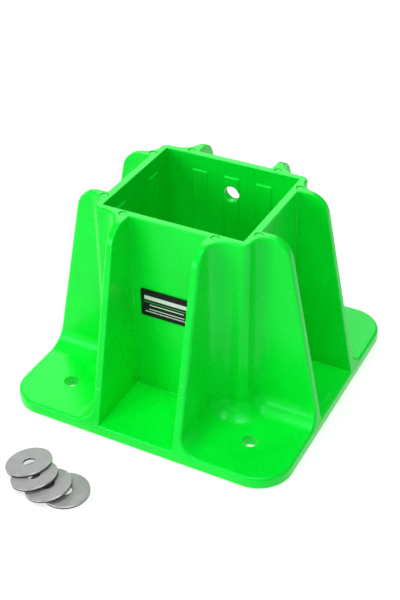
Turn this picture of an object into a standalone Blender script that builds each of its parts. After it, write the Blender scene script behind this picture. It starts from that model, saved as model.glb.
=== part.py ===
"""Temporary guardrail post base: one plastic moulding, its label and four loose fender washers.

The moulding stands on z = 0 with its middle at the origin.  +Z is up, the label is on the -Y
wall and the cross hole is in the +Y wall.  Lengths are in metres.
"""
from math import asin, atan2, cos, pi, radians, sin, tan

import bmesh
import bpy
from mathutils import Matrix, Vector

MM = 0.001

# The post: two 2x4 studs face to face, gripped by low ribs on the socket walls.
POST_WIDTH = 88.9 * MM
POST_DEPTH = 76.2 * MM
POST_PLAY = 0.25 * MM
RIB_HEIGHT = 0.7 * MM
RIB_WIDTH = 10.8 * MM
RIB_TOP_DROP = 10.0 * MM
WIDE_WALL_RIB_PITCH = 22.2 * MM
NARROW_WALL_RIB_PITCH = 40.0 * MM

# The moulding.
BODY_HEIGHT = 129.5 * MM
WALL = 5.0 * MM
WALL_DRAFT = 0.5 * MM
PLATE_WIDTH = 186.0 * MM
PLATE_DEPTH = 184.0 * MM
PLATE_THICKNESS = 7.5 * MM
PLATE_CORNER_RADIUS = 22.0 * MM
PLATE_EDGE_ROUND = 1.6 * MM

# Eight buttresses, two on each wall, with a square pocket between the two of a pair.
POCKET_WIDTH = 50.0 * MM
BUTTRESS_THICKNESS = 4.8 * MM
BUTTRESS_REACH = 17.3 * MM
BUTTRESS_SETBACK = 0.4 * MM
SHOULDER_RADIUS = 14.0 * MM

# The four corner bays, rounded where they meet the walls and the floor.
BAY_INNER_RADIUS = 12.0 * MM
SOCKET_CORNER_RADIUS = 5.0 * MM
FLOOR_FILLET = 12.0 * MM

SCREW_HOLE_DIAMETER = 9.5 * MM
SCREW_HOLE_SPACING = 125.0 * MM
CROSS_HOLE_DIAMETER = 10.5 * MM
CROSS_HOLE_DROP = 22.0 * MM

LABEL_WIDTH = 38.1 * MM
LABEL_HEIGHT = 19.05 * MM
LABEL_THICKNESS = 0.4 * MM
LABEL_MIDDLE_HEIGHT = 72.5 * MM
FIT_GAP = 0.3 * MM

# Four washers in front of the plate: washer 4 lies flat, the others lean on the ones before.
# Each leaning washer has its place beside washer 4 and the slope of its face along X and Y.
WASHER_DIAMETER = 28.0 * MM
WASHER_HOLE = 7.5 * MM
WASHER_THICKNESS = 1.6 * MM
WASHER_EDGE = 0.25 * MM
PILE_X = -17.1 * MM
PILE_TO_PLATE = 49.2 * MM
STACK_GAP = 0.25 * MM
LEANING = (
    ("washer_3", (-9.6 * MM, -3.1 * MM), (0.190, 0.024)),
    ("washer_2", (-20.8 * MM, -0.7 * MM), (0.222, -0.058)),
    ("washer_1", (-30.2 * MM, 7.5 * MM), (0.196, -0.062)),
)

SOCKET_X = POST_WIDTH / 2 + POST_PLAY + RIB_HEIGHT
SOCKET_Y = POST_DEPTH / 2 + POST_PLAY + RIB_HEIGHT
WALL_X = SOCKET_X + WALL
WALL_Y = SOCKET_Y + WALL
POCKET_SIDE = POCKET_WIDTH / 2
BAY_SIDE = POCKET_SIDE + BUTTRESS_THICKNESS
FLOOR = PLATE_THICKNESS
SINK = 1.0 * MM
ABOVE = BODY_HEIGHT + 5.0 * MM
BEYOND = max(PLATE_WIDTH, PLATE_DEPTH) / 2 + 20.0 * MM


def material(name, colour, metallic, roughness):
    made = bpy.data.materials.new(name)
    made.use_nodes = True
    shader = made.node_tree.nodes["Principled BSDF"]
    shader.inputs["Base Color"].default_value = (*colour, 1.0)
    shader.inputs["Metallic"].default_value = metallic
    shader.inputs["Roughness"].default_value = roughness
    return made


def collection(name):
    made = bpy.data.collections.new(name)
    bpy.context.scene.collection.children.link(made)
    return made


def mesh_object(name, bm, home, look=None):
    bmesh.ops.recalc_face_normals(bm, faces=bm.faces[:])
    mesh = bpy.data.meshes.new(name)
    bm.to_mesh(mesh)
    bm.free()
    made = bpy.data.objects.new(name, mesh)
    home.objects.link(made)
    if home is cutters:
        made.hide_render = True
        made.display_type = "WIRE"
    if look:
        mesh.materials.append(look)
    return made


def prism(name, outline, direction, length, home):
    """Extrude a closed outline of 3-D points along a direction."""
    bm = bmesh.new()
    face = bm.faces.new([bm.verts.new(point) for point in outline])
    grown = bmesh.ops.extrude_face_region(bm, geom=[face])
    moved = [part for part in grown["geom"] if isinstance(part, bmesh.types.BMVert)]
    bmesh.ops.translate(bm, vec=Vector(direction) * length, verts=moved)
    return mesh_object(name, bm, home)


def block(name, low, high, home):
    outline = [(low[0], low[1], low[2]), (high[0], low[1], low[2]),
               (high[0], high[1], low[2]), (low[0], high[1], low[2])]
    return prism(name, outline, (0, 0, 1), high[2] - low[2], home)


def rod(name, middle, axis, diameter, length, home, sides=32):
    bm = bmesh.new()
    bmesh.ops.create_cone(bm, cap_ends=True, segments=sides, radius1=diameter / 2,
                          radius2=diameter / 2, depth=length)
    turn = Vector((0, 0, 1)).rotation_difference(Vector(axis)).to_matrix().to_4x4()
    bmesh.ops.transform(bm, matrix=Matrix.Translation(middle) @ turn, verts=bm.verts[:])
    return mesh_object(name, bm, home)


def loft(name, rings, home):
    """Skin a stack of rings that all have the same number of points."""
    bm = bmesh.new()
    rows = [[bm.verts.new(point) for point in ring] for ring in rings]
    count = len(rows[0])
    for lower, upper in zip(rows, rows[1:]):
        for i in range(count):
            j = (i + 1) % count
            bm.faces.new((lower[i], lower[j], upper[j], upper[i]))
    bm.faces.new(rows[0])
    bm.faces.new(rows[-1])
    bmesh.ops.remove_doubles(bm, verts=bm.verts[:], dist=0.005 * MM)
    return mesh_object(name, bm, home)


def boolean(target, other, operation):
    step = target.modifiers.new(operation.title() + " " + other.name, "BOOLEAN")
    step.operation = operation
    step.solver = "EXACT"
    step.object = other


def bevel(target, width, segments, angle):
    step = target.modifiers.new("Edge round", "BEVEL")
    step.width = width
    step.segments = segments
    step.limit_method = "ANGLE"
    step.angle_limit = angle


def arc(middle_x, middle_y, radius, start, end, steps):
    angles = [start + (end - start) * i / steps for i in range(steps + 1)]
    return [(middle_x + radius * cos(a), middle_y + radius * sin(a)) for a in angles]


def plate_outline():
    """The plate's rounded rectangle, counter-clockwise from the +X side."""
    x = PLATE_WIDTH / 2 - PLATE_CORNER_RADIUS
    y = PLATE_DEPTH / 2 - PLATE_CORNER_RADIUS
    points = []
    for sx, sy, start in ((1, 1, 0.0), (-1, 1, 0.5), (-1, -1, 1.0), (1, -1, 1.5)):
        points += arc(sx * x, sy * y, PLATE_CORNER_RADIUS, start * pi, (start + 0.5) * pi, 8)
    return points


def slab_outline(wall, plate_half):
    """Side view of a pair of opposite buttresses: level top, round shoulders, straight slopes."""
    foot = plate_half - BUTTRESS_SETBACK
    top = wall + BUTTRESS_REACH
    lean = atan2(foot - top, BODY_HEIGHT - FLOOR)
    shoulder = top - SHOULDER_RADIUS * tan((pi / 2 - lean) / 2)
    side = [(foot - SINK, FLOOR - 2 * SINK), (foot, FLOOR)]
    side += arc(shoulder, BODY_HEIGHT - SHOULDER_RADIUS, SHOULDER_RADIUS, lean, pi / 2, 8)
    return side + [(-x, z) for x, z in reversed(side)]


def bay_ring(offset, height, steps=6):
    """Plan of the open bay in the +X +Y corner, drawn in from its walls by an offset."""
    corner_x = WALL_X - SOCKET_CORNER_RADIUS
    corner_y = WALL_Y - SOCKET_CORNER_RADIUS
    round_y = max(BAY_INNER_RADIUS, offset)
    narrow = min(BAY_INNER_RADIUS, corner_y - BAY_SIDE)
    turned = SOCKET_CORNER_RADIUS + offset
    last = asin(max(0.0, BAY_SIDE + offset - corner_y) / turned)
    points = [(BAY_SIDE + offset, BEYOND)]
    points += arc(BAY_SIDE + round_y, WALL_Y + round_y, round_y - offset, pi, 1.5 * pi, steps)
    points += arc(corner_x, corner_y, turned, pi / 2, last, steps)
    if offset < narrow:
        points += arc(WALL_X + narrow, BAY_SIDE + narrow, narrow - offset, pi, 1.5 * pi, steps)
    else:
        points += [points[-1]] * (steps + 1)
    points += [(BEYOND, BAY_SIDE + offset), (BEYOND, BEYOND)]
    return [(x, y, height) for x, y in points]


def bay_core(sign_x, sign_y):
    """The solid that leaves one corner bay, with its floor fillet."""
    draft = WALL_DRAFT / (BODY_HEIGHT - FLOOR)
    rings = [bay_ring(draft * (BODY_HEIGHT - ABOVE), ABOVE)]
    steps = 5
    for i in range(steps + 1):
        angle = pi / 2 * i / steps
        height = FLOOR + FLOOR_FILLET * (1 - sin(angle))
        rings.append(bay_ring(draft * (BODY_HEIGHT - height) + FLOOR_FILLET * (1 - cos(angle)), height))
    rings.append([(x, y, FLOOR - SINK) for x, y, z in rings[-1]])
    rings = [[(sign_x * x, sign_y * y, z) for x, y, z in ring] for ring in rings]
    return loft("Bay core", rings, cutters)


def pocket_core(along_x, sign):
    """The solid that leaves one square pocket between a pair of buttresses."""
    wall = WALL_X if along_x else WALL_Y
    draft = WALL_DRAFT / (BODY_HEIGHT - FLOOR)
    low = wall + WALL_DRAFT + draft * SINK
    high = wall - draft * (ABOVE - BODY_HEIGHT)
    side = [(low, FLOOR - SINK), (BEYOND, FLOOR - SINK), (BEYOND, ABOVE), (high, ABOVE)]
    if along_x:
        outline = [(sign * out, -POCKET_SIDE, z) for out, z in side]
        return prism("Pocket core", outline, (0, 1, 0), POCKET_WIDTH, cutters)
    outline = [(-POCKET_SIDE, sign * out, z) for out, z in side]
    return prism("Pocket core", outline, (1, 0, 0), POCKET_WIDTH, cutters)


def socket_core():
    """The solid that leaves the post socket, notched where the grip ribs stand."""
    def side_points(middles, half, depth):
        points = []
        for middle in middles:
            left, right = middle - RIB_WIDTH / 2, middle + RIB_WIDTH / 2
            inner = depth - RIB_HEIGHT
            points += [(left, depth), (left, inner), (right, inner), (right, depth)]
        return points + [(half, depth)]

    wide = (-WIDE_WALL_RIB_PITCH, 0.0, WIDE_WALL_RIB_PITCH)
    narrow = (-NARROW_WALL_RIB_PITCH / 2, NARROW_WALL_RIB_PITCH / 2)
    points = [(x, -y) for x, y in side_points(wide, SOCKET_X, SOCKET_Y)]
    points += [(y, x) for x, y in side_points(narrow, SOCKET_Y, SOCKET_X)]
    points += [(-x, y) for x, y in side_points(wide, SOCKET_X, SOCKET_Y)]
    points += [(-y, -x) for x, y in side_points(narrow, SOCKET_Y, SOCKET_X)]
    outline = [(x, y, FLOOR - SINK) for x, y in points]
    return prism("Socket core", outline, (0, 0, 1), ABOVE - FLOOR + SINK, cutters)


def moulding():
    plate = prism("moulded_base", [(x, y, 0.0) for x, y in plate_outline()], (0, 0, 1),
                  PLATE_THICKNESS, parts)
    plate.data.materials.append(green)
    rim = bmesh.new()
    rim.from_mesh(plate.data)
    top = [e for e in rim.edges if min(v.co.z for v in e.verts) > PLATE_THICKNESS / 2]
    bmesh.ops.bevel(rim, geom=top, offset=PLATE_EDGE_ROUND, segments=2, profile=0.5,
                    affect="EDGES", clamp_overlap=True)
    rim.to_mesh(plate.data)
    rim.free()

    # The upright part is cut from a solid blank, then joined to the plate.
    side_x, side_y = WALL_X + 2 * SINK, WALL_Y + 2 * SINK
    blank = block("Blank", (-side_x, -side_y, FLOOR - 1.8 * SINK), (side_x, side_y, BODY_HEIGHT), cutters)
    across = BAY_SIDE + max(BAY_INNER_RADIUS, FLOOR_FILLET) + 2 * SINK
    outline = [(x, -across, z) for x, z in slab_outline(WALL_X, PLATE_WIDTH / 2)]
    boolean(blank, prism("Slab along X", outline, (0, 1, 0), 2 * across, cutters), "UNION")
    outline = [(-across, y, z) for y, z in slab_outline(WALL_Y, PLATE_DEPTH / 2)]
    boolean(blank, prism("Slab along Y", outline, (1, 0, 0), 2 * across, cutters), "UNION")
    spread = FLOOR_FILLET + WALL_DRAFT + SINK
    bed = block("Fillet bed", (-WALL_X - spread, -WALL_Y - spread, FLOOR - 1.5 * SINK),
                (WALL_X + spread, WALL_Y + spread, FLOOR + FLOOR_FILLET + SINK), cutters)
    boolean(blank, bed, "UNION")
    for sign in (-1, 1):
        boolean(blank, pocket_core(True, sign), "DIFFERENCE")
        boolean(blank, pocket_core(False, sign), "DIFFERENCE")
        boolean(blank, bay_core(sign, 1), "DIFFERENCE")
        boolean(blank, bay_core(sign, -1), "DIFFERENCE")
    boolean(blank, socket_core(), "DIFFERENCE")
    lead = block("Socket mouth", (-SOCKET_X, -SOCKET_Y, BODY_HEIGHT - RIB_TOP_DROP),
                 (SOCKET_X, SOCKET_Y, ABOVE), cutters)
    boolean(blank, lead, "DIFFERENCE")

    boolean(plate, blank, "UNION")
    at = SCREW_HOLE_SPACING / 2
    for x in (-at, at):
        for y in (-at, at):
            hole = rod("Screw hole", (x, y, FLOOR / 2), (0, 0, 1), SCREW_HOLE_DIAMETER,
                       3 * FLOOR, cutters)
            boolean(plate, hole, "DIFFERENCE")
    cross = rod("Cross hole", (0.0, SOCKET_Y + WALL / 2, BODY_HEIGHT - CROSS_HOLE_DROP), (0, 1, 0),
                CROSS_HOLE_DIAMETER, 4 * WALL, cutters)
    boolean(plate, cross, "DIFFERENCE")
    return plate


def label():
    """A sticker parallel to the drafted outer face of the -Y wall."""
    draft = WALL_DRAFT / (BODY_HEIGHT - FLOOR)
    low = LABEL_MIDDLE_HEIGHT - LABEL_HEIGHT / 2
    high = LABEL_MIDDLE_HEIGHT + LABEL_HEIGHT / 2
    face = [-(WALL_Y + draft * (BODY_HEIGHT - z)) - FIT_GAP for z in (low, high)]
    left = -LABEL_WIDTH / 2
    outline = [(left, face[0], low), (left, face[1], high),
               (left, face[1] - LABEL_THICKNESS, high), (left, face[0] - LABEL_THICKNESS, low)]
    made = prism("label", outline, (1, 0, 0), LABEL_WIDTH, parts)
    made.data.materials.append(black)


def washer(name, placing):
    bore = rod(name + " bore", (0, 0, 0), (0, 0, 1), WASHER_HOLE, 4 * WASHER_THICKNESS, cutters, 40)
    made = rod(name, (0, 0, 0), (0, 0, 1), WASHER_DIAMETER, WASHER_THICKNESS, parts, 40)
    made.data.materials.append(steel)
    boolean(made, bore, "DIFFERENCE")
    bevel(made, WASHER_EDGE, 1, radians(40))
    made.data.polygons.foreach_set("use_smooth", [True] * len(made.data.polygons))
    made.data.set_sharp_from_angle(angle=radians(35))
    made.matrix_world = placing
    bore.matrix_world = placing


def rim_points(middle, normal, count=72):
    """Points around the edge of a washer's face."""
    across = Vector((0, 1, 0)).cross(normal).normalized()
    along = normal.cross(across)
    turns = [2 * pi * i / count for i in range(count)]
    return [middle + (across * cos(a) + along * sin(a)) * (WASHER_DIAMETER / 2) for a in turns]


def rest_height(x, y, slope, normal, placed):
    """Height of a leaning washer's lower face where it meets the ground or a washer below it."""
    def rise(point):
        return slope[0] * (point.x - x) + slope[1] * (point.y - y)

    own = rim_points(Vector((x, y, 0)), normal)
    height = -min(rise(point) for point in own)
    limit = WASHER_DIAMETER / 2 + 0.001 * MM
    for top, facing in placed:
        for point in own + rim_points(top, facing):
            dx, dy = point.x - top.x, point.y - top.y
            if Vector((dx, dy)).length < limit and Vector((point.x - x, point.y - y)).length < limit:
                level = top.z - (facing.x * dx + facing.y * dy) / facing.z
                height = max(height, level + STACK_GAP / normal.z - rise(point))
    return height


def washers():
    """Lay the flat washer, then lean the others on it in turn."""
    flat = Vector((PILE_X, -PLATE_DEPTH / 2 - PILE_TO_PLATE, 0))
    upright = Vector((0, 0, 1))
    washer("washer_4", Matrix.Translation(flat + upright * (WASHER_THICKNESS / 2)))
    placed = [(flat + upright * WASHER_THICKNESS, upright)]
    for name, (dx, dy), slope in LEANING:
        normal = Vector((-slope[0], -slope[1], 1)).normalized()
        x, y = flat.x + dx, flat.y + dy
        low = Vector((x, y, rest_height(x, y, slope, normal, placed)))
        lean = upright.rotation_difference(normal).to_matrix().to_4x4()
        washer(name, Matrix.Translation(low + normal * (WASHER_THICKNESS / 2)) @ lean)
        placed.append((low + normal * WASHER_THICKNESS, normal))


for old in list(bpy.data.objects):
    bpy.data.objects.remove(old, do_unlink=True)

parts = collection("Guardrail post base")
cutters = collection("Cutters")
green = material("Green plastic", (0.0, 0.72, 0.05), 0.0, 0.35)
black = material("Black label", (0.01, 0.01, 0.012), 0.0, 0.45)
steel = material("Zinc plated steel", (0.62, 0.62, 0.6), 1.0, 0.3)

moulding()
label()
washers()
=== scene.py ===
"""Looks of the guardrail post base: the moulding, its label and the loose washers."""
import math

import bmesh
import bpy
import numpy as np
from mathutils import Matrix, Vector


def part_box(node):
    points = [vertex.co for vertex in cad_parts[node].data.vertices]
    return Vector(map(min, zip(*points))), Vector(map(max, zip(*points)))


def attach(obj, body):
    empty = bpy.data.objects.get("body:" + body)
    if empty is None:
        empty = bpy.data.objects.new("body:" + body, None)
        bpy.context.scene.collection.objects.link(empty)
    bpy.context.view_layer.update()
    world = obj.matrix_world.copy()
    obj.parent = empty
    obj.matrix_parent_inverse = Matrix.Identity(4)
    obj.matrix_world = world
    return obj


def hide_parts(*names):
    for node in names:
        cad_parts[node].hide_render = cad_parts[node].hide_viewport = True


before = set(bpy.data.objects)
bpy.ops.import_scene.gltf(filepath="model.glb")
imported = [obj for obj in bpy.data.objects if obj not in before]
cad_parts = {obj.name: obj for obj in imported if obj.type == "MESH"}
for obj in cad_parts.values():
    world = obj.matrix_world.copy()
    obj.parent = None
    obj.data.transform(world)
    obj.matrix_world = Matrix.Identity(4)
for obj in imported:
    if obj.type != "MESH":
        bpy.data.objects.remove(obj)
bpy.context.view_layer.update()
MM = 0.001

# ---------------------------------------------------------------- sizes, in millimetres
# the moulding is the same on both sides of the middle, so widths are half widths: (along x, along y)
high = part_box("moulded_base")[1]
H = high[2] / MM
PLATE = (high[0] / MM, high[1] / MM)
FLOOR = 7.5
PLATE_CORNER = 22.0
SOCKET = (45.4, 39.05)
WALL = (50.4, 44.05)
# how much the walls thicken from the rim to the floor
DRAFT = 0.5
# the pockets between two ribs of a wall, and the bays at the corners
POCKET_SIDE = 25.0
BAY_SIDE = 29.8
# a rib seen from the side: level top, step in from the plate's edge, round of the shoulder
REACH = 17.3
SETBACK = 0.4
SHOULDER = 14.0
# what the ribs and the bays' floor fillets are cut from
RIB_BLANK = 46.0
FOOT_BLANK = (72.0, 68.0)
FOOT_HEIGHT = 13.0
BAY_ROUND = 12.0
BAY_ROUND_SHORT = 9.25
SOCKET_ROUND = 5.0
FLOOR_ROUND = 12.0
HOLE_AT = 62.5
HOLE_RADIUS = 4.75
# the cross hole goes through the wall on the +Y side only
CROSS_HEIGHT = H - 22.0
CROSS_RADIUS = 5.25
CROSS_SIDE = 30.0
# grip ribs: two and a middle one on the wide walls, two on the narrow ones
RIB_WIDTH = 10.8
RIB_PROUD = 0.7
RIB_TOP = H - 10.0
GRIP_AT_WIDE = 22.2
GRIP_AT_NARROW = 20.0
# shallow round marks where the ejector pins pushed on the rim
PINS = ((29.7, 42.9), (50.1, 29.4))
PIN_RADIUS = 2.4
PIN_DEPTH = 0.45
# washers
WASHER_EDGE = 0.32
WASHER_BURR = 0.1
WASHER_TURNS = 128
# how strongly a mesh point is drawn to the mean of its grid cell's crossings where the skin is flat
CELL_PULL = 0.04


# ---------------------------------------------------------------- the moulding as a distance field
def fill(a, b, radius):
    """Join two solids with a round fillet between them."""
    inner = np.hypot(np.maximum(radius - a, 0), np.maximum(radius - b, 0))
    return np.maximum(radius, np.minimum(a, b)) - inner


def trim(a, b, radius):
    """Keep what two solids share, with its edge rounded over."""
    outer = np.hypot(np.maximum(radius + a, 0), np.maximum(radius + b, 0))
    return np.minimum(-radius, np.maximum(a, b)) + outer


def rounded(x, y, half_x, half_y, radius):
    """Rectangle with round corners, for points on the positive side of both axes."""
    dx, dy = x - (half_x - radius), y - (half_y - radius)
    outside = np.hypot(np.maximum(dx, 0), np.maximum(dy, 0))
    return outside + np.minimum(np.maximum(dx, dy), 0) - radius


def buttress_side(u, z, wall, half):
    """Side view of a rib: level top, round shoulder, straight slope down to the plate's edge."""
    foot, top = half - SETBACK, wall + REACH
    lean = math.atan2(foot - top, H - FLOOR)
    slope = (u - foot) * math.cos(lean) + (z - FLOOR) * math.sin(lean)
    du = u - (top - SHOULDER * math.tan((math.pi / 2 - lean) / 2))
    dz = z - (H - SHOULDER)
    on_arc = (du > 0) & (dz * math.cos(lean) - du * math.sin(lean) > 0)
    edge = np.where(on_arc, np.hypot(du, dz) - SHOULDER, np.maximum(slope, z - H))
    return np.maximum(edge, u - foot)


def grips(ax, ay, z):
    """Low ribs up the socket's inner walls."""
    def rib(side, out, wall):
        rise = wall - out
        outline = trim((side - RIB_WIDTH / 2 + 0.4 * rise) * 0.93, (z - RIB_TOP + 1.1 * rise) * 0.67, 0.4)
        low_face = trim(outline, rise - RIB_PROUD, 0.15)
        return np.maximum(low_face, np.maximum(out - wall - 0.6, FLOOR - 1 - z))

    on_y = rib(np.minimum(np.abs(ax - GRIP_AT_WIDE), ax), ay, SOCKET[1])
    return np.minimum(on_y, rib(np.abs(ay - GRIP_AT_NARROW), ax, SOCKET[0]))


def moulding(p):
    """Signed distance, in millimetres, to the moulding's skin."""
    x, y, z = p
    ax, ay = np.abs(x), np.abs(y)
    grow = DRAFT * np.clip((H - z) / (H - FLOOR), 0, 1)
    up = z - FLOOR
    tower = rounded(ax, ay, WALL[0], WALL[1], SOCKET_ROUND)
    bay = np.minimum(fill(ax - BAY_SIDE, tower, BAY_ROUND), fill(ay - BAY_SIDE, tower, BAY_ROUND_SHORT))
    bay = fill(bay - grow, up, FLOOR_ROUND)
    pocket_y = fill(fill(POCKET_SIDE - ax, ay - WALL[1] - grow, 0.5), up, 0.5)
    pocket_x = fill(fill(POCKET_SIDE - ay, ax - WALL[0] - grow, 0.5), up, 0.5)
    socket = fill(fill(SOCKET[0] - ax, SOCKET[1] - ay, 0.5), up, 0.6)
    blank = np.minimum(np.maximum(buttress_side(ax, z, WALL[0], PLATE[0]), ay - RIB_BLANK),
                       np.maximum(buttress_side(ay, z, WALL[1], PLATE[1]), ax - RIB_BLANK))
    blank = np.minimum(blank, np.maximum(np.maximum(ax - WALL[0] - 2, ay - WALL[1] - 2), z - H))
    foot = np.maximum(np.maximum(ax - FOOT_BLANK[0], ay - FOOT_BLANK[1]), z - FLOOR - FOOT_HEIGHT)
    blank = np.minimum(blank, foot)
    # the upright shapes end inside the plate
    blank = np.maximum(blank, 3 - z)
    upright = np.maximum(np.maximum(trim(blank, bay, 1.6), trim(blank, socket, 0.45)),
                         np.maximum(trim(blank, pocket_y, 0.6), trim(blank, pocket_x, 0.6)))
    plate = rounded(ax, ay, PLATE[0], PLATE[1], PLATE_CORNER)
    plate = trim(trim(plate, up, 1.8), -z, 0.6)
    skin = np.minimum(np.minimum(upright, plate), grips(ax, ay, z))
    skin = trim(skin, HOLE_RADIUS - np.hypot(ax - HOLE_AT, ay - HOLE_AT), 0.4)
    pins = np.maximum(*[PIN_RADIUS - np.hypot(ax - px, ay - py) for px, py in PINS])
    skin = trim(skin, np.minimum(pins, z - H + PIN_DEPTH), 0.1)
    cross = trim(skin, CROSS_RADIUS - np.hypot(x, z - CROSS_HEIGHT), 0.4)
    return np.where(y > CROSS_SIDE, cross, skin)


def facing(p, step=0.01):
    """Unit normals of the skin at points near it."""
    slope = np.empty_like(p)
    for i in range(3):
        ahead, behind = p.copy(), p.copy()
        ahead[i] += step
        behind[i] -= step
        slope[i] = moulding(ahead) - moulding(behind)
    return slope / np.maximum(np.linalg.norm(slope, axis=0), 1e-9)


def ruler(start, spans, mirrored=True):
    """Grid lines, close together where the skin bends and far apart where it is flat."""
    marks = [start]
    for end, step in spans:
        count = max(1, round((end - marks[-1]) / step))
        marks += list(np.linspace(marks[-1], end, count + 1)[1:])
    marks = np.array(marks)
    return np.concatenate([-marks[::-1], marks]) if mirrored else marks


def skin_mesh(axes):
    """Points and quads on the distance field's skin (dual contouring on an uneven grid)."""
    grid = np.array(np.meshgrid(*axes, indexing="ij"))
    field = moulding(grid.reshape(3, -1)).reshape(grid.shape[1:])
    dims = [len(a) - 1 for a in axes]
    cells, points, normals, quads = [], [], [], []
    for axis in range(3):
        near, far = [slice(None)] * 3, [slice(None)] * 3
        near[axis], far[axis] = slice(0, -1), slice(1, None)
        index = np.array(np.nonzero((field[tuple(near)] < 0) != (field[tuple(far)] < 0)))
        start = np.array([axes[i][index[i]] for i in range(3)])
        end = start.copy()
        end[axis] = axes[axis][index[axis] + 1]
        inside = field[tuple(index)] < 0
        first, last = np.zeros(index.shape[1]), np.ones(index.shape[1])
        for _ in range(16):
            middle = (first + last) / 2
            same = (moulding(start + (end - start) * middle) < 0) == inside
            first, last = np.where(same, middle, first), np.where(same, last, middle)
        point = start + (end - start) * ((first + last) / 2)
        normal = facing(point)
        u, v = (axis + 1) % 3, (axis + 2) % 3
        around = []
        for du, dv in ((-1, -1), (0, -1), (0, 0), (-1, 0)):
            c = index.copy()
            c[u] += du
            c[v] += dv
            around.append((c[0] * dims[1] + c[1]) * dims[2] + c[2])
            cells.append(around[-1])
            points.append(point)
            normals.append(normal)
        around = np.array(around)
        quads.append(np.where(inside, around, around[::-1]).T)
    points, normals = np.concatenate(points, 1), np.concatenate(normals, 1)
    used, owner = np.unique(np.concatenate(cells), return_inverse=True)
    count = np.bincount(owner)

    def total(values):
        return np.bincount(owner, values)

    middle = np.array([total(points[i]) for i in range(3)]) / count
    offset = (normals * (points - middle[:, owner])).sum(0)
    a, b = np.zeros((len(used), 3, 3)), np.zeros((len(used), 3, 1))
    for i in range(3):
        b[:, i, 0] = total(normals[i] * offset)
        for j in range(3):
            a[:, i, j] = total(normals[i] * normals[j])
        a[:, i, i] += CELL_PULL * count
    placed = middle.T + np.linalg.solve(a, b)[..., 0]
    cell = (used // (dims[1] * dims[2]), used // dims[2] % dims[1], used % dims[2])
    for i in range(3):
        placed[:, i] = np.clip(placed[:, i], axes[i][cell[i]], axes[i][cell[i] + 1])
    for _ in range(2):
        placed = placed - (facing(placed.T.copy()) * moulding(placed.T)).T
    return placed, np.searchsorted(used, np.concatenate(quads))


def link(name, data):
    """Put a mesh, light or camera into the scene."""
    made = bpy.data.objects.new(name, data)
    bpy.context.scene.collection.objects.link(made)
    return made


def build_moulding():
    """The moulding's mesh; each span of a ruler is (where it ends, how far apart its lines are)."""
    across = ruler(0.4, [(4.8, 1.1), (6, .4), (16, 2.5), (17.6, .4), (23.6, 3), (25.9, .38), (27, .5),
                         (32.8, .4), (43, 1), (46.6, .5), (53, .42), (57.4, .9), (67.8, .8), (88.8, 1.6),
                         (94.2, .4)])
    along = ruler(0.4, [(13.8, 3.3), (15.4, .4), (23.6, 2.7), (25.9, .38), (26.7, .4), (32.2, .4), (37.6, 1),
                        (40, .35), (45.8, .4), (57.4, .9), (67.8, .8), (88.2, 1.6), (93.2, .4)])
    upward = ruler(-0.7, [(1, .35), (5.2, 1.4), (9, .38), (20, 1), (101, 3.2), (114, .7), (118.6, .9),
                          (120.3, .4), (126.6, 1), (130.3, .36)], False)
    points, quads = skin_mesh((across, along, upward))
    mesh = bpy.data.meshes.new("base_moulding")
    mesh.from_pydata(points, [], quads.tolist())
    made = link("base_moulding", mesh)
    # flat areas need few points, so most of the mesh is spent where the skin bends
    thin = made.modifiers.new("thin", "DECIMATE")
    thin.ratio = 0.4
    mesh = bpy.data.meshes.new_from_object(made.evaluated_get(bpy.context.evaluated_depsgraph_get()))
    made.modifiers.remove(thin)
    made.data = mesh
    spots = np.empty(len(mesh.vertices) * 3)
    mesh.vertices.foreach_get("co", spots)
    mesh.polygons.foreach_set("use_smooth", [True] * len(mesh.polygons))
    mesh.normals_split_custom_set_from_vertices(facing(spots.reshape(-1, 3).T.copy()).T)
    mesh.transform(Matrix.Scale(MM, 4))
    return made


# ---------------------------------------------------------------- the loose washers and the label
def disc_of(cad):
    """Middle and axis of a CAD washer in metres, then its outer and inner radius and half thickness in mm."""
    spots = np.array([cad.matrix_world @ v.co for v in cad.data.vertices])
    middle = (spots.max(0) + spots.min(0)) / 2
    for _ in range(3):
        spread = spots - middle
        normal = np.linalg.svd(spread, full_matrices=False)[2][2]
        normal *= np.sign(normal[2])
        height = spread @ normal
        middle = middle + normal * (height.max() + height.min()) / 2
    radius = np.linalg.norm(spread - np.outer(spread @ normal, normal), axis=1)
    return middle, normal, radius.max() / MM, radius.min() / MM, (height.max() - height.min()) / 2 / MM


def washer_section(outer, inner, half):
    """Outline of the steel as (radius, height): rolled edges above, sheared ones with a small burr below."""
    roll, burr = WASHER_EDGE, WASHER_BURR
    # the faces are a hair lower between the rims
    dish = half - 0.015
    section = []
    for step in range(5):
        turn = math.radians(90 * step / 4)
        section.append((outer - roll + roll * math.cos(turn), half - roll + roll * math.sin(turn)))
    section += [(outer - 1.1, half), (outer - 2.6, dish), (inner + 2.6, dish), (inner + 1.0, half)]
    for step in range(5):
        turn = math.radians(90 + 90 * step / 4)
        section.append((inner + roll + roll * math.cos(turn), half - roll + roll * math.sin(turn)))
    section += [(inner + 0.03, 0.05), (inner, -half + burr), (inner + burr, -half), (inner + 1.2, -half),
                (outer - 1.2, -half), (outer - burr, -half), (outer, -half + burr), (outer - 0.03, 0.05)]
    return section


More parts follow.
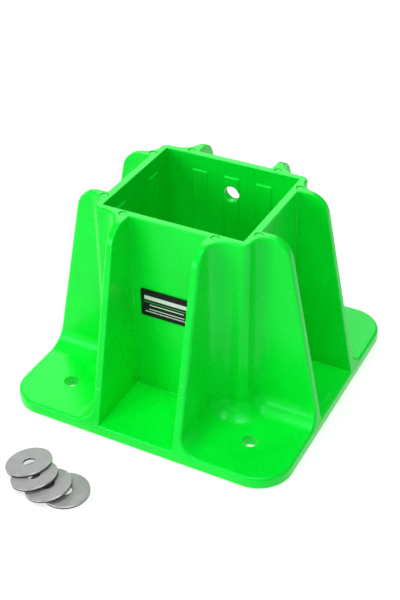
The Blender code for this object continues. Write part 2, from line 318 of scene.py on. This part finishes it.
def washer(name, metals):
    """A stamped washer turned in its own frame, then tilted like the CAD one it stands for."""
    middle, normal, outer, inner, half = disc_of(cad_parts[name])
    section = washer_section(outer, inner, half)
    bm = bmesh.new()
    painted_pin_shade = []
    for step in range(WASHER_TURNS):
        angle = 2 * math.pi * step / WASHER_TURNS
        # a stamped rim is never perfectly even
        wave = 1 + 0.0012 * math.sin(3 * angle + len(name)) - 0.0014
        rim = (outer + inner) / 2
        painted_pin_shade.append([bm.verts.new((math.cos(angle) * r * (wave if r > rim else 1),
                                    math.sin(angle) * r * (wave if r > rim else 1), z)) for r, z in section])
    for i in range(WASHER_TURNS):
        first, second = painted_pin_shade[i], painted_pin_shade[(i + 1) % WASHER_TURNS]
        for j in range(len(section)):
            k = (j + 1) % len(section)
            face = bm.faces.new((first[j], second[j], second[k], first[k]))
            radii, heights = (section[j][0], section[k][0]), (section[j][1], section[k][1])
            # the sheared band is upright and below the middle, and the rolled edges lie next to the two rims;
            # the band gets the near-black painted-shade steel, the edges the lighter steel with painted
            # highlight
            if max(heights) < 0.1 and abs(radii[0] - radii[1]) < 0.05:
                face.material_index = 2
            elif min(radii) > outer - 0.4 or max(radii) < inner + 0.4:
                face.material_index = 1
    bmesh.ops.recalc_face_normals(bm, faces=bm.faces[:])
    for face in bm.faces:
        face.smooth = True
    for edge in bm.edges:
        if len(edge.link_faces) == 2 and edge.calc_face_angle(0) > math.radians(35):
            edge.smooth = False
    bmesh.ops.scale(bm, vec=(MM, MM, MM), verts=bm.verts)
    bm.transform(Vector((0, 0, 1)).rotation_difference(Vector(normal)).to_matrix().to_4x4())
    mesh = bpy.data.meshes.new(name + "_steel")
    bm.to_mesh(mesh)
    bm.free()
    made = link(name + "_steel", mesh)
    made.location = middle
    for metal in metals:
        made.data.materials.append(metal)
    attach(made, name)
    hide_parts(name)


def printed_label(inks):
    """A film label with rounded corners; its print is plain bars, no lettering."""
    low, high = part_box("label")
    wide, tall, deep = (high[0] - low[0]) / MM, (high[2] - low[2]) / MM, (high[1] - low[1]) / MM
    # one heavy bar, a thin green rule, a short bar and two fine bars: left, right, bottom, top, ink
    white, green = 1, 2
    bars = ((2.4, 31.0, 12.0, 14.8, white),
            (2.4, 34.6, 10.1, 10.5, green),
            (6.0, 29.0, 8.0, 8.7, white),
            (5.6, 29.4, 5.0, 5.6, white),
            (2.9, 32.8, 3.1, 3.7, white))
    bm = bmesh.new()
    corner, outline = 1.1, []
    for cx, cz, start in ((wide - corner, tall - corner, 0), (corner, tall - corner, 90),
                          (corner, corner, 180), (wide - corner, corner, 270)):
        for step in range(7):
            turn = math.radians(start + 15 * step)
            outline.append((cx + corner * math.cos(turn), cz + corner * math.sin(turn)))
    bm.faces.new([bm.verts.new((x, 0, z)) for x, z in outline])
    # cut the film along every bar's edges, upwards first and then across
    cuts = [((0, 0, cut), (0, 0, 1)) for cut in sorted({edge for bar in bars for edge in bar[2:4]})]
    cuts += [((cut, 0, 0), (1, 0, 0)) for cut in sorted({edge for bar in bars for edge in bar[:2]})]
    for point, normal in cuts:
        everything = bm.verts[:] + bm.edges[:] + bm.faces[:]
        bmesh.ops.bisect_plane(bm, geom=everything, plane_co=point, plane_no=normal)
    for face in bm.faces:
        spot = face.calc_center_median()
        for left, right, bottom, top, ink in bars:
            if left < spot.x < right and bottom < spot.z < top:
                face.material_index = ink
    bmesh.ops.dissolve_limit(bm, angle_limit=0.01, verts=bm.verts, edges=bm.edges, delimit={"MATERIAL"})
    rim = [e for e in bm.edges if len(e.link_faces) == 1]
    back = bmesh.ops.extrude_edge_only(bm, edges=rim)["geom"]
    for vert in [g for g in back if isinstance(g, bmesh.types.BMVert)]:
        # the back stays just inside the CAD film
        vert.co.y = deep - 0.01
    open_edges = [g for g in back if isinstance(g, bmesh.types.BMEdge) and len(g.link_faces) == 1]
    bmesh.ops.contextual_create(bm, geom=open_edges)
    bmesh.ops.recalc_face_normals(bm, faces=bm.faces[:])
    bmesh.ops.scale(bm, vec=(MM, MM, MM), verts=bm.verts)
    bmesh.ops.translate(bm, vec=(low[0], low[1], low[2]), verts=bm.verts)
    mesh = bpy.data.meshes.new("printed_label")
    bm.to_mesh(mesh)
    bm.free()
    for ink in inks:
        mesh.materials.append(ink)
    made = link("printed_label", mesh)
    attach(made, "base")
    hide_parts("label")


# ---------------------------------------------------------------- materials
class Shader:
    """Short names for one material's nodes."""

    def __init__(self, name):
        self.material = bpy.data.materials.new(name)
        self.material.use_nodes = True
        self.nodes, self.links = self.material.node_tree.nodes, self.material.node_tree.links
        self.out = self.nodes["Principled BSDF"]
        self.place = self.nodes.new("ShaderNodeTexCoord").outputs["Object"]

    def put(self, value, socket):
        """Link another node's output, or set the socket's own value."""
        if hasattr(value, "is_output"):
            self.links.new(value, socket)
        else:
            socket.default_value = value

    def math(self, operation, *values, clamp=False):
        made = self.nodes.new("ShaderNodeMath")
        made.operation, made.use_clamp = operation, clamp
        for value, socket in zip(values, made.inputs):
            self.put(value, socket)
        return made.outputs[0]

    def noise(self, scale, detail=2.0, stretch=(1, 1, 1), distort=0.0, turn=(0, 0, 0)):
        spread = self.nodes.new("ShaderNodeMapping")
        spread.inputs["Scale"].default_value = stretch
        spread.inputs["Rotation"].default_value = turn
        self.links.new(self.place, spread.inputs["Vector"])
        made = self.nodes.new("ShaderNodeTexNoise")
        made.inputs["Scale"].default_value = scale
        made.inputs["Detail"].default_value = detail
        made.inputs["Distortion"].default_value = distort
        self.links.new(spread.outputs[0], made.inputs["Vector"])
        return made.outputs["Fac"]

    def range(self, value, low, high, to_low=0.0, to_high=1.0):
        made = self.nodes.new("ShaderNodeMapRange")
        for index, entry in enumerate((value, low, high, to_low, to_high)):
            self.put(entry, made.inputs[index])
        return made.outputs[0]

    def blend(self, amount, first, second):
        made = self.nodes.new("ShaderNodeMix")
        made.data_type = "RGBA"
        self.put(amount, made.inputs[0])
        for entry, socket in ((first, made.inputs[6]), (second, made.inputs[7])):
            self.put(entry, socket)
        return made.outputs[2]

    def finish(self, colour, roughness, height, depth):
        """Wire up the shader; depth is the height of the bumps in metres."""
        self.put(colour, self.out.inputs["Base Color"])
        self.put(roughness, self.out.inputs["Roughness"])
        bump = self.nodes.new("ShaderNodeBump")
        bump.inputs["Strength"].default_value = 1.0
        bump.inputs["Distance"].default_value = depth
        self.put(height, bump.inputs["Height"])
        self.links.new(bump.outputs[0], self.out.inputs["Normal"])
        return self.material


def green_plastic():
    """Bright moulded plastic: uneven tone, faint scuffs and specks, painted shade round the ejector-pin
    marks, a fine orange-peel skin.
    """
    s = Shader("green_plastic")
    split = s.nodes.new("ShaderNodeSeparateXYZ")
    s.links.new(s.place, split.inputs[0])
    x, y, z = split.outputs
    ax, ay = s.math("ABSOLUTE", x), s.math("ABSOLUTE", y)
    # painted shade: a darker line along the sunken edge of each ejector-pin mark
    painted_pin_shade = None
    for px, py in PINS:
        reach = s.math("SQRT", s.math("ADD", s.math("POWER", s.math("SUBTRACT", ax, px * MM), 2.0),
                                      s.math("POWER", s.math("SUBTRACT", ay, py * MM), 2.0)))
        off_ring = s.math("ABSOLUTE", s.math("SUBTRACT", reach, PIN_RADIUS * MM))
        painted_pin_line = s.range(off_ring, 0.0001, 0.0004, 1.0, 0.0)
        painted_pin_shade = painted_pin_line if painted_pin_shade is None else s.math("MAXIMUM", painted_pin_shade, painted_pin_line)
    painted_pin_shade = s.math("MULTIPLY", painted_pin_shade, s.math("GREATER_THAN", z, (H - 0.5) * MM))
    cloud = s.noise(26, 3)
    flow = s.noise(60, 3, (1, 1, 0.25), 0.6)
    pores = s.noise(2600, 2)
    orange_peel = s.noise(420, 2)
    scuffs = s.range(s.noise(150, 4, (1, 0.07, 1), 0.3, (0, 0, 0.6)), 0.66, 0.73)
    scuffs = s.math("MULTIPLY", scuffs, s.range(s.noise(34, 1), 0.5, 0.62))
    specks = s.range(s.noise(520, 1), 0.785, 0.80)
    tone = s.math("ADD", s.math("MULTIPLY", cloud, 0.6), s.math("MULTIPLY", flow, 0.4))
    colour = s.blend(s.range(tone, 0.35, 0.65), (0.0, 0.76, 0.022, 1), (0.001, 0.85, 0.034, 1))
    colour = s.blend(s.math("MULTIPLY", scuffs, 0.22), colour, (0.10, 0.95, 0.16, 1))
    colour = s.blend(s.math("MULTIPLY", specks, 0.5), colour, (0.35, 0.95, 0.40, 1))
    # the pin marks' sunken edges are darkened here as painted shade
    colour = s.blend(s.math("MULTIPLY", painted_pin_shade, 0.42), colour, (0.0, 0.40, 0.01, 1))
    rough = s.math("ADD", s.range(tone, 0.3, 0.7, 0.24, 0.31), s.math("MULTIPLY", scuffs, 0.2), clamp=True)
    height = s.math("ADD", s.math("MULTIPLY", orange_peel, 0.3), s.math("MULTIPLY", pores, 0.05))
    height = s.math("SUBTRACT", height, s.math("MULTIPLY", scuffs, 0.25))
    s.out.inputs["IOR"].default_value = 1.5
    s.out.inputs["Specular IOR Level"].default_value = 0.42
    s.out.inputs["Specular Tint"].default_value = (0.28, 1.0, 0.75, 1)
    return s.finish(colour, rough, height, 0.00003)


def label_ink(name, colour, roughness):
    """Slightly worn print on the label's film."""
    s = Shader(name)
    grain = s.noise(1500, 3)
    wear = s.range(s.noise(240, 4), 0.62, 0.72)
    dull = tuple(c * 0.8 for c in colour) + (1,)
    light = tuple(min(1, c * 1.08 + 0.002) for c in colour) + (1,)
    tone = s.blend(grain, dull, light)
    tone = s.blend(s.math("MULTIPLY", wear, 0.12), tone, (0.25, 0.27, 0.26, 1))
    s.out.inputs["Specular IOR Level"].default_value = 0.2
    return s.finish(tone, s.range(grain, 0.3, 0.7, roughness - 0.05, roughness + 0.06), grain, 0.00001)


def zinc_steel(name, dark, light, metal, rough_low, rough_high, stretch, coarse):
    """Zinc-plated steel: dull faces, a rolled edge whose lighter colour is painted highlight, or a sheared
    band painted near-black as the shade under the rim.
    """
    s = Shader(name)
    spangle = s.noise(900, 4)
    patch = s.noise(150, 3)
    lines = s.noise(1300, 3, stretch, 0.0, (0, 0, 0.5))
    tone = s.math("ADD", s.math("MULTIPLY", patch, 0.4),
                  s.math("ADD", s.math("MULTIPLY", spangle, 0.35), s.math("MULTIPLY", lines, 0.25)))
    colour = s.blend(s.range(tone, 0.35, 0.68), dark, light)
    height = s.math("ADD", s.math("MULTIPLY", spangle, 0.5), s.math("MULTIPLY", lines, 0.6))
    s.out.inputs["Metallic"].default_value = metal
    return s.finish(colour, s.range(tone, 0.3, 0.7, rough_high, rough_low), height, coarse)


# ---------------------------------------------------------------- pieces
base = build_moulding()
base.data.materials.append(green_plastic())
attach(base, "base")
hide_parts("moulded_base")

printed_label((label_ink("label_black", (0.006, 0.006, 0.007), 0.42),
               label_ink("label_white", (0.82, 0.83, 0.83), 0.45),
               label_ink("label_green", (0.05, 0.55, 0.08), 0.45)))

metals = (
    zinc_steel("zinc_face", (0.355, 0.340, 0.355, 1), (0.445, 0.428, 0.445, 1),
               0.2, 0.38, 0.52, (1, 0.05, 0.05), 0.000012),
    # rolled edges: smoother, more metallic zinc that catches real highlights, with a lighter colour that is
    # painted highlight
    zinc_steel("zinc_edge_painted_highlight", (0.42, 0.40, 0.42, 1), (0.62, 0.60, 0.62, 1),
               0.85, 0.22, 0.34, (1, 1, 0.2), 0.000006),
    # sheared band: a real cut edge, coloured near-black as painted shade for the shadow under each rim
    zinc_steel("zinc_sheared_painted_shade", (0.02, 0.02, 0.02, 1), (0.09, 0.09, 0.092, 1),
               0.8, 0.35, 0.6, (1, 1, 0.15), 0.00004))
for number in (1, 2, 3, 4):
    washer("washer_%d" % number, metals)

# ---------------------------------------------------------------- floor, light and camera
# half the floor's width, and its height just under the parts, in metres
STAGE_HALF = 6
STAGE_HEIGHT = -0.0004
corners = [(x * STAGE_HALF, y * STAGE_HALF, STAGE_HEIGHT) for x, y in ((-1, -1), (1, -1), (1, 1), (-1, 1))]
sheet = bpy.data.meshes.new("floor")
sheet.from_pydata(corners, [], [(0, 1, 2, 3)])
floor = link("floor", sheet)
white = bpy.data.materials.new("floor_white")
white.use_nodes = True
shader = white.node_tree.nodes["Principled BSDF"]
shader.inputs["Base Color"].default_value = (0.5, 0.5, 0.5, 1)
shader.inputs["Roughness"].default_value = 0.9
shader.inputs["Specular IOR Level"].default_value = 0.0
shader.inputs["Emission Color"].default_value = (1, 1, 1, 1)
shader.inputs["Emission Strength"].default_value = 0.6
floor.data.materials.append(white)

world = bpy.data.worlds.new("studio")
bpy.context.scene.world = world
world.use_nodes = True
world.node_tree.nodes["Background"].inputs["Color"].default_value = (1, 1, 1, 1)
world.node_tree.nodes["Background"].inputs["Strength"].default_value = 0.22


def softbox(name, place, aim, width, height, power):
    """A rectangular light at one place, aimed at another; power is in watts."""
    lamp = bpy.data.lights.new(name, "AREA")
    lamp.shape = "RECTANGLE"
    lamp.size, lamp.size_y = width, height
    lamp.energy = power
    made = link(name, lamp)
    made.location = place
    made.rotation_euler = (Vector(aim) - Vector(place)).to_track_quat("-Z", "Y").to_euler()


softbox("key", (-0.8, -1.4, 0.62), (0, 0, 0.06), 0.9, 0.6, 10.5)
softbox("top", (0.12, -0.45, 1.45), (0, 0, 0.05), 1.2, 1.2, 11.5)
softbox("lamp", (0.0, -0.08, 1.35), (0, 0, 0.05), 0.3, 0.3, 3.0)
softbox("back", (-0.55, 1.05, 0.90), (0, 0, 0.1), 1.1, 0.8, 6)
softbox("left", (-1.6, -0.35, 0.5), (0, 0, 0.05), 0.8, 0.6, 4.5)

lens = bpy.data.cameras.new("camera")
camera = link("camera", lens)
eye = Vector((0.2692, -0.5192, 0.4652))
target = Vector((0.0051, -0.0150, 0.0617))
roll = math.radians(-0.705)
ahead = (target - eye).normalized()
right = ahead.cross(Vector((0, 0, 1))).normalized()
above = right.cross(ahead)
turned = right * math.cos(roll) + above * math.sin(roll)
upright = above * math.cos(roll) - right * math.sin(roll)
camera.matrix_world = Matrix.Translation(eye) @ Matrix((turned, upright, -ahead)).transposed().to_4x4()
lens.lens = 68.016
lens.sensor_width = 36
lens.clip_start = 0.01
bpy.context.scene.camera = camera
bpy.context.scene.view_settings.view_transform = "Standard"
